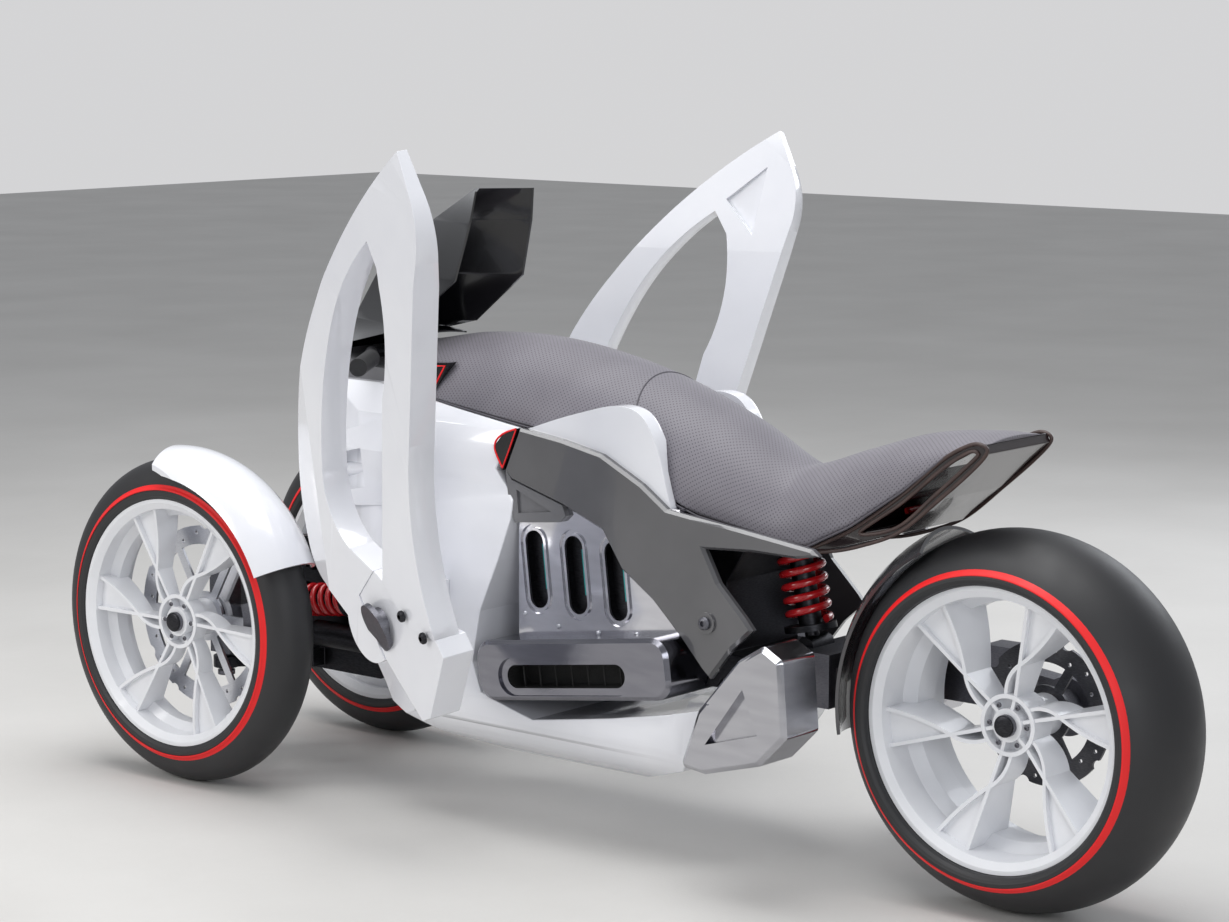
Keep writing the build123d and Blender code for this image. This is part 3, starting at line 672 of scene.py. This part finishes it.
rows = rolled_end(FRONT_END, NOSE_ROLL, NOSE_SHARE)[::-1]
rows += [(y, cover_section(y)) for y in even_places(FRONT_END, VALLEY, SEAT_STEPS)]
rows += [(y, cover_section(y)) for y in even_places(VALLEY, TAIL_END, TAIL_STEPS)[1:]]
rows += rolled_end(TAIL_END, TAIL_ROLL, TAIL_SHARE)
width = len(rows[0][1])
points = [(x / 1000, y / 1000, z / 1000) for y, line in rows for x, z in line]
faces = grid_faces(len(rows), width, close_columns=True)
faces.append(tuple(reversed(range(width))))
faces.append(tuple(range(len(points) - width, len(points))))
saddle = mesh_piece("padded_saddle", points, faces, LEATHER, "chassis")
for polygon in saddle.data.polygons[-2:]:
    polygon.use_smooth = False
rounding = saddle.modifiers.new("smooth", "SUBSURF")
rounding.levels = 1
rounding.render_levels = 1
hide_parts("saddle")
print("saddle rows", len(rows), "across", width)

# %% [markdown]
# The holes need a measure of the leather itself, not of the air above it. Each point is told
# how far it lies from the middle line, along the skin, and how far it lies from the nose. This
# is what unwrapping does too, but measured lengths keep the rows straight and evenly pitched.

# %% Measure of the leather


def running_length(line):
    """How far each point lies along a line: metres, for a line in millimetres."""
    lengths = [0.0]
    for a, b in zip(line, line[1:]):
        lengths.append(lengths[-1] + math.dist(a, b) / 1000)
    return lengths


middle = width // 2
along = running_length([(y, line[middle][1]) for y, line in rows])
across = []
for _, line in rows:
    lengths = running_length(line)
    across.append([length - lengths[middle] for length in lengths])
cover = saddle.data.uv_layers.new(name="cover")
for loop in saddle.data.loops:
    r, k = divmod(loop.vertex_index, width)
    cover.data[loop.index].uv = (across[r][k], along[r])
print("leather along the middle", round(along[-1], 3), "m")

# %% [markdown]
# Under the raised end, the tail is a thick strap folded back on itself. The CAD solid gives the
# strap. Its outline is smooth and its cut edges are piped in brown, so a thin tube follows the
# outer and the inner edge on each side, and a dim red lamp bar sits inside the fold.

# %% Tail fold
# Corners of each edge as (y, z)
FOLD_EDGES = {
    "outer": [(0.464, 0.552), (0.547, 0.594), (0.642, 0.660), (0.716, 0.722), (0.762, 0.748),
              (0.786, 0.752), (0.797, 0.740), (0.768, 0.708), (0.710, 0.658), (0.636, 0.599),
              (0.560, 0.568), (0.501, 0.553)],
    "inner": [(0.560, 0.590), (0.640, 0.646), (0.716, 0.708), (0.764, 0.738), (0.780, 0.738),
              (0.772, 0.726), (0.704, 0.666), (0.632, 0.606)],
}
FOLD_SIDE = 0.0925
PIPING_RADIUS = 0.0032
LAMP_HALF, LAMP_Y, LAMP_Z, LAMP_RADIUS = 0.076, 0.640, 0.632, 0.006
for side, sign in SIDES:
    for edge, corners in FOLD_EDGES.items():
        line = [(sign * FOLD_SIDE, y, z) for y, z in smooth_line(corners, parts=8, closed=True)]
        tube(f"{side}_fold_piping_{edge}", line, PIPING_RADIUS, TAIL_BROWN, "chassis",
             closed=True)
lamp_line = [(x, LAMP_Y, LAMP_Z) for x in even_places(-LAMP_HALF, LAMP_HALF, 12)]
tube("tail_lamp_bar", lamp_line, LAMP_RADIUS, TAIL_LAMP, "chassis")
print("fold piping", 2 * len(FOLD_EDGES), "and one lamp bar")

# %% [markdown]
# One sewn seam crosses the cover behind the tank hump, from the tip of each white insert up
# over the crown, and a fine piping runs along the lower edge of the leather. Both are thin
# tubes whose points are taken from the cover's own sections, so they lie in its surface.

# %% Seams
# The seam's place on the crown and how far it sweeps back, in mm, and how it bends and reaches
SEAM_CROWN_Y, SEAM_SWEEP, SEAM_BEND, SEAM_SHARE = 88, 56, 2.2, 0.74
SEAM_HALF_STEPS = 24
PIPING_START, PIPING_END, PIPING_SHARE = -452, 754, 0.985
SEAM_THICK, PIPING_THICK = 0.0014, 0.0018


def on_cover(y, share):
    """A point of the saddle: the share is -1 at its right edge and 1 at its left."""
    line = cover_section(y)
    place = (share + 1) / 2 * (len(line) - 1)
    k = int(place)
    (x0, z0), (x1, z1) = line[k:k + 2]
    x = x0 + (x1 - x0) * (place - k)
    z = z0 + (z1 - z0) * (place - k)
    return x / 1000, y / 1000, z / 1000


seam = []
for side_share in even_places(-1, 1, 2 * SEAM_HALF_STEPS):
    y = SEAM_CROWN_Y + SEAM_SWEEP * abs(side_share) ** SEAM_BEND
    seam.append(on_cover(y, SEAM_SHARE * side_share))
tube("cross_seam", seam, SEAM_THICK, SEAM_THREAD, "chassis")
for side, sign in SIDES:
    line = [on_cover(y, sign * PIPING_SHARE) for y in even_places(PIPING_START, PIPING_END, 120)]
    tube(f"{side}_edge_piping", line, PIPING_THICK, SEAM_THREAD, "chassis")
print("seam points", len(seam), "edge piping points", len(line))

# %% [markdown]
# The displays on the tank's flanks and the blinkers are black lenses in thin red frames. The
# frames are bright lines about 3 to 4 mm thick. A bevelled strip would fit them too, but at
# this size a round tube on the lens's outline looks the same and is simpler.

# %% Red frames
# Outlines as (y, z), and the place of each across the vehicle
DISPLAY = [(-0.357, 0.757), (-0.357, 0.791), (-0.305, 0.795), (-0.332, 0.754)]
BLINKER = [(-0.1345, 0.636), (-0.149, 0.660), (-0.152, 0.673), (-0.146, 0.685), (-0.129, 0.697),
           (-0.103, 0.706)]
BLINKER_LINE = [BLINKER[0], (-0.119, 0.669), BLINKER[-1]]
DISPLAY_SIDE, BLINKER_SIDE = 0.1262, 0.1672
FRAME_RADIUS, EDGE_RADIUS, LINE_RADIUS = 0.0022, 0.0017, 0.0014


def red_line(name, x, outline, radius, closed=False):
    line = [(x, y, z) for y, z in outline]
    tube(name, line, radius, STRIPE_RED, "chassis", closed)


for side, sign in SIDES:
    red_line(f"{side}_display_frame", sign * DISPLAY_SIDE, DISPLAY, FRAME_RADIUS, closed=True)
    red_line(f"{side}_blinker_edge", sign * BLINKER_SIDE, smooth_line(BLINKER, parts=6), EDGE_RADIUS)
    red_line(f"{side}_blinker_line", sign * BLINKER_SIDE, BLINKER_LINE, LINE_RADIUS)
print("red lines", 3 * len(SIDES))

# %% [markdown]
# Below the screen a dark dash cover hides most of the space down to the front of the tank. It
# is a shallow crowned sheet, pointed forward like the screen, and clears the bar as it turns.
# A grid of points gives the crown, and a modifier then gives the sheet its thickness.

# %% Dash cover
DASH_FRONT, DASH_BACK, DASH_TAPER = -0.636, -0.446, 0.150
TIP_HALF, DASH_HALF = 0.006, 0.086
DASH_HEIGHT, DASH_ARCH, DASH_CROWN = 0.829, 0.016, 0.006
ARCH_FROM, ARCH_TO = 0.15, 0.85  # the part of a half wave that the arch follows
DASH_STEPS = 16
points = []
for along_share in even_places(0, 1, DASH_STEPS):
    y = DASH_FRONT + (DASH_BACK - DASH_FRONT) * along_share
    half = min(DASH_HALF, TIP_HALF + (DASH_HALF - TIP_HALF) * (y - DASH_FRONT) / DASH_TAPER)
    wave = math.pi * (ARCH_FROM + (ARCH_TO - ARCH_FROM) * along_share)
    height = DASH_HEIGHT + DASH_ARCH * math.sin(wave)
    for u in even_places(-1, 1, DASH_STEPS):
        points.append((half * u, y, height - DASH_CROWN * u * u))
faces = grid_faces(DASH_STEPS + 1, DASH_STEPS + 1)
dash_cover = mesh_piece("dash_cover", points, faces, BLACK_GLOSS, "chassis")
plate = dash_cover.modifiers.new("plate", "SOLIDIFY")
plate.thickness = 0.003
plate.offset = -1
print("dash cover points", len(points))

# %% [markdown]
# The engine's slots and the exhaust's outlets are long openings with round ends. Each gets a
# liner, an open cup that closes it at the back, so that nobody looks into the hollow casting.
# The helpers work in the plane of the vehicle's side, with two directions of the opening.

# %% Helpers for openings
ROUND_END_STEPS = 12


def in_plane(centre, lengthwise, upward, a, b):
    """The (y, z) that lies a along one direction and b along the other."""
    return (centre[0] + a * lengthwise[0] + b * upward[0],
            centre[1] + a * lengthwise[1] + b * upward[1])


def stadium(length, height):
    """Outline of an opening with round ends."""
    half, radius = length / 2 - height / 2, height / 2
    line = []
    for end, start in ((half, -90), (-half, 90)):
        for degrees in even_places(start, start + 180, ROUND_END_STEPS):
            a = math.radians(degrees)
            line.append((end + radius * math.cos(a), radius * math.sin(a)))
    return line


def liner(name, centre, directions, size, depth, finish):
    """An open cup with its mouth outward: the depth is its place at the mouth and the back."""
    outline = stadium(*size)
    rim = [in_plane(centre, *directions, a, b) for a, b in outline]
    points = [(x, *place) for x in depth for place in rim]
    faces = grid_faces(2, len(outline), close_columns=True)
    faces.append(tuple(range(len(outline), 2 * len(outline))))
    mesh_piece(name, points, faces, finish, "chassis", smooth=False)


# %% [markdown]
# Three tall slots stand in each engine cover, leaning forward a little, and a teal strip runs
# along most of each, inside the opening. A shader could make it glow, but in the photo it is
# plain paint, so a thin tube with a glossy finish does it.

# %% Engine slots
SLOT_COUNT, FIRST_SLOT, SLOT_PITCH = 3, (-0.072, 0.465), 0.088
SLOT_SIZE = (0.1328, 0.0388)
SLOT_MOUTH, SLOT_BACK = 0.1445, 0.1306
STRIP_SIDE, STRIP_SHIFT, STRIP_RADIUS = 0.1345, 0.008, 0.0032
STRIP_PLACES = (-0.036, 0.0, 0.042)  # along the slot, from its middle
lean = math.atan(0.12)
slot_directions = ((-math.sin(lean), math.cos(lean)), (math.cos(lean), math.sin(lean)))


def engine_slots(side, sign):
    depth = (sign * SLOT_MOUTH, sign * SLOT_BACK)
    for k in range(SLOT_COUNT):
        centre = (FIRST_SLOT[0] + SLOT_PITCH * k, FIRST_SLOT[1])
        liner(f"{side}_slot_liner_{k}", centre, slot_directions, SLOT_SIZE, depth, DARK)
        strip = [(sign * STRIP_SIDE, *in_plane(centre, *slot_directions, t, STRIP_SHIFT))
                 for t in STRIP_PLACES]
        tube(f"{side}_slot_strip_{k}", strip, STRIP_RADIUS, TEAL, "chassis")


print("slots a side", SLOT_COUNT, "pitch", SLOT_PITCH)

# %% [markdown]
# The exhaust leaves through one long outlet on each side of the sloping box. The outlet is
# sooty inside and has thin slats across it. The box slopes about its own pivot, so the outlet's
# level place is turned with it, and the slats then stand square to the slope.

# %% Exhaust outlets
BOX_PIVOT, BOX_SLOPE = (0.050, 0.310), math.radians(8)
OUTLET_LEVEL = (0.034, 0.303)  # the middle of the outlet before the box slopes
OUTLET_SIZE = (0.2608, 0.0388)
OUTLET_MOUTH, OUTLET_BACK = 0.1985, 0.1545
SLAT_SIDE, SLAT_PITCH, SLAT_HALF, SLAT_RADIUS = 0.182, 0.036, 0.0185, 0.0016
outlet_directions = ((math.cos(BOX_SLOPE), math.sin(BOX_SLOPE)),
                     (-math.sin(BOX_SLOPE), math.cos(BOX_SLOPE)))
outlet = in_plane(BOX_PIVOT, *outlet_directions, OUTLET_LEVEL[0] - BOX_PIVOT[0],
                  OUTLET_LEVEL[1] - BOX_PIVOT[1])


def exhaust_outlet(side, sign):
    depth = (sign * OUTLET_MOUTH, sign * OUTLET_BACK)
    liner(f"{side}_outlet_liner", outlet, outlet_directions, OUTLET_SIZE, depth, SOOT_BLACK)
    for k in range(7):
        slat = [(sign * SLAT_SIDE, *in_plane(outlet, *outlet_directions, SLAT_PITCH * (k - 3), t))
                for t in (-SLAT_HALF, SLAT_HALF)]
        tube(f"{side}_outlet_slat_{k}", slat, SLAT_RADIUS, SOOT_BLACK, "chassis")


for side, sign in SIDES:
    engine_slots(side, sign)
    exhaust_outlet(side, sign)
print("outlet at", [round(v, 4) for v in outlet])

# %% [markdown]
# Small fasteners tell the eye how large a machine is. Each is a button-head bolt: a domed head
# with a hexagon socket sunk into it. One helper makes them all from a profile in shares of the
# head's radius, so a bolt of any size has the right proportions.

# %% Helper for bolts
# All sizes are shares of the head's radius
DOME = [(0.0, 1.0), (0.35, 1.0), (0.48, 0.92), (0.62, 0.75), (0.70, 0.52)]  # (height, reach)
SOCKET_HALF = 0.4002  # from the middle to a flat of the socket
SOCKET_TOP, SOCKET_BOTTOM = 0.70, 0.30
ROUND = [2 * math.pi * k / 24 for k in range(24)]
SOCKET = [SOCKET_HALF / math.cos(a % (math.pi / 3) - math.pi / 6) for a in ROUND]
BOLT_RINGS = [(height, [reach] * len(ROUND)) for height, reach in DOME]
BOLT_RINGS += [(SOCKET_TOP, SOCKET), (SOCKET_BOTTOM, SOCKET)]


def bolt(name, place, axis, radius, finish, body):
    axis = Vector(axis).normalized()
    side = axis.orthogonal().normalized()
    other = axis.cross(side)
    points = []
    for height, reaches in BOLT_RINGS:
        for a, reach in zip(ROUND, reaches):
            outward = side * math.cos(a) + other * math.sin(a)
            points.append(Vector(place) + axis * height * radius + outward * reach * radius)
    faces = grid_faces(len(BOLT_RINGS), len(ROUND), close_columns=True)
    faces.append(tuple(range(len(points) - len(ROUND), len(points))))
    mesh_piece(name, points, faces, finish, body, smooth=False)


def bolt_circle(name, x, axle, radius, outward, head, body):
    """Six heads round an axle."""
    for k in range(6):
        a = math.radians(60 * k + 30)
        spot = (x, axle[0] + radius * math.sin(a), axle[1] + radius * math.cos(a))
        bolt(f"{name}_{k}", spot, (outward, 0, 0), head, CAST, body)


# %% [markdown]
# Six bolts hold each brake disc to its hub. The front discs sit on the inner side of their
# wheels, so their heads point to the middle of the vehicle, and the rear disc is on the right.
# The bolts ride on the wheels and turn with them.

# %% Disc bolts
DISC_INSET, REAR_DISC_SIDE = 0.0442, -0.0702
DISC_BOLT_CIRCLE, DISC_BOLT_HEAD = 0.040, 0.0055
for side, sign in SIDES:
    bolt_circle(f"{side}_disc_bolt", sign * (TRACK_HALF - DISC_INSET), FRONT_AXLE,
                DISC_BOLT_CIRCLE, -sign, DISC_BOLT_HEAD, f"front_{side}_wheel")
bolt_circle("rear_disc_bolt", REAR_DISC_SIDE, REAR_AXLE, DISC_BOLT_CIRCLE, -1, DISC_BOLT_HEAD,
            "rear_wheel")
print("disc bolts", 3 * 6)

# %% [markdown]
# Two dark bolts show on the white bracket of each hoop, and one grey bolt on each side panel.
# The bracket bolts stand square to the leaning hoop, so their axis is the direction in which
# the hoop's outer face looks.

# %% Bracket and panel bolts
HOOP_OUTWARD = (0.9548, -0.2664, -0.1327)  # for the left hoop
BRACKET_BOLTS = [(0.395, -0.156, 0.409), (0.409, -0.094, 0.382)]
PANEL_BOLT = (0.168, 0.308, 0.422)
BRACKET_HEAD, PANEL_HEAD = 0.010, 0.011
for side, sign in SIDES:
    outward = (sign * HOOP_OUTWARD[0], *HOOP_OUTWARD[1:])
    for k, (x, y, z) in enumerate(BRACKET_BOLTS):
        bolt(f"{side}_bracket_bolt_{k}", (sign * x, y, z), outward, BRACKET_HEAD, DARK,
             "chassis")
    x, y, z = PANEL_BOLT
    bolt(f"{side}_panel_bolt", (sign * x, y, z), (sign, 0, 0), PANEL_HEAD, CAST,
         "chassis")
print("bracket bolts", 2 * len(BRACKET_BOLTS), "panel bolts", 2)

# %% [markdown]
# Each hub carries a dark dust cap inside its ring and six small lug screws around it. The cap
# is a low dome. It could be a squashed sphere, but lathing a quarter of an ellipse gives
# a dome with a clean edge and no hidden half.

# %% Hub trim
CAP_HEIGHT, CAP_RADIUS = 0.0035, 0.0172
HUB_SCREW_CIRCLE, HUB_SCREW_HEAD = 0.0345, 0.0042
# Wheel: side that shows, and how far the cap and the screws sit from the middle of the wheel
HUBS = {"front_left": (1, 0.0415, 0.0285), "front_right": (-1, 0.0415, 0.0285),
        "rear": (1, 0.0575, 0.0435)}
for name, (sign, cap_seat, screw_seat) in HUBS.items():
    middle = TYRES[name][0]
    quarter = [math.pi / 2 * (1 - k / 8) for k in range(9)]
    dome = [(sign * (cap_seat + CAP_HEIGHT * math.cos(a)), CAP_RADIUS * math.sin(a))
            for a in quarter]
    lathe(f"{name}_dust_cap", middle, dome, DARK, f"{name}_wheel", count=48)
    bolt_circle(f"{name}_hub_screw", middle[0] + sign * screw_seat, middle[1:], HUB_SCREW_CIRCLE,
                sign, HUB_SCREW_HEAD, f"{name}_wheel")
print("hubs", len(HUBS))

# %% [markdown]
# Small cap screws hold the slotted cover to the engine: four below the slots and one above, between
# the first two. Their places were chosen on the flat of the cover, so a short list says them best.

# %% Engine screws
ENGINE_SIDE, ENGINE_HEAD = 0.150, 0.0042
ENGINE_SCREWS = [(-0.098, 0.385), (-0.022, 0.372), (0.066, 0.372), (0.150, 0.380), (-0.030, 0.560)]
for side, sign in SIDES:
    for k, place in enumerate(ENGINE_SCREWS):
        bolt(f"{side}_engine_screw_{k}", (sign * ENGINE_SIDE, *place), (sign, 0, 0), ENGINE_HEAD,
             STEEL, "chassis")
print("engine screws", 2 * len(ENGINE_SCREWS))

# %% [markdown]
# The floor isn't part of the vehicle. It is there to catch the shadow and the light that bounces up
# under the belly, so it is plain, pale and a little rough.

# %% Floor
bpy.ops.mesh.primitive_plane_add(size=30, location=(0, 0, 0))
floor = bpy.context.object
floor.name = "floor"
look = Look("floor_pale")
look.colour(look.ramp(look.noise(1.5, 5), (0.3, (0.60, 0.59, 0.57)), (0.7, (0.66, 0.65, 0.63))))
look.rough(look.spread(look.noise(40), 0.55, 0.75))
look.bump(look.noise(160, 4), 0.15, 0.002)
floor.data.materials.append(look.mat)
print("stage", floor.name)
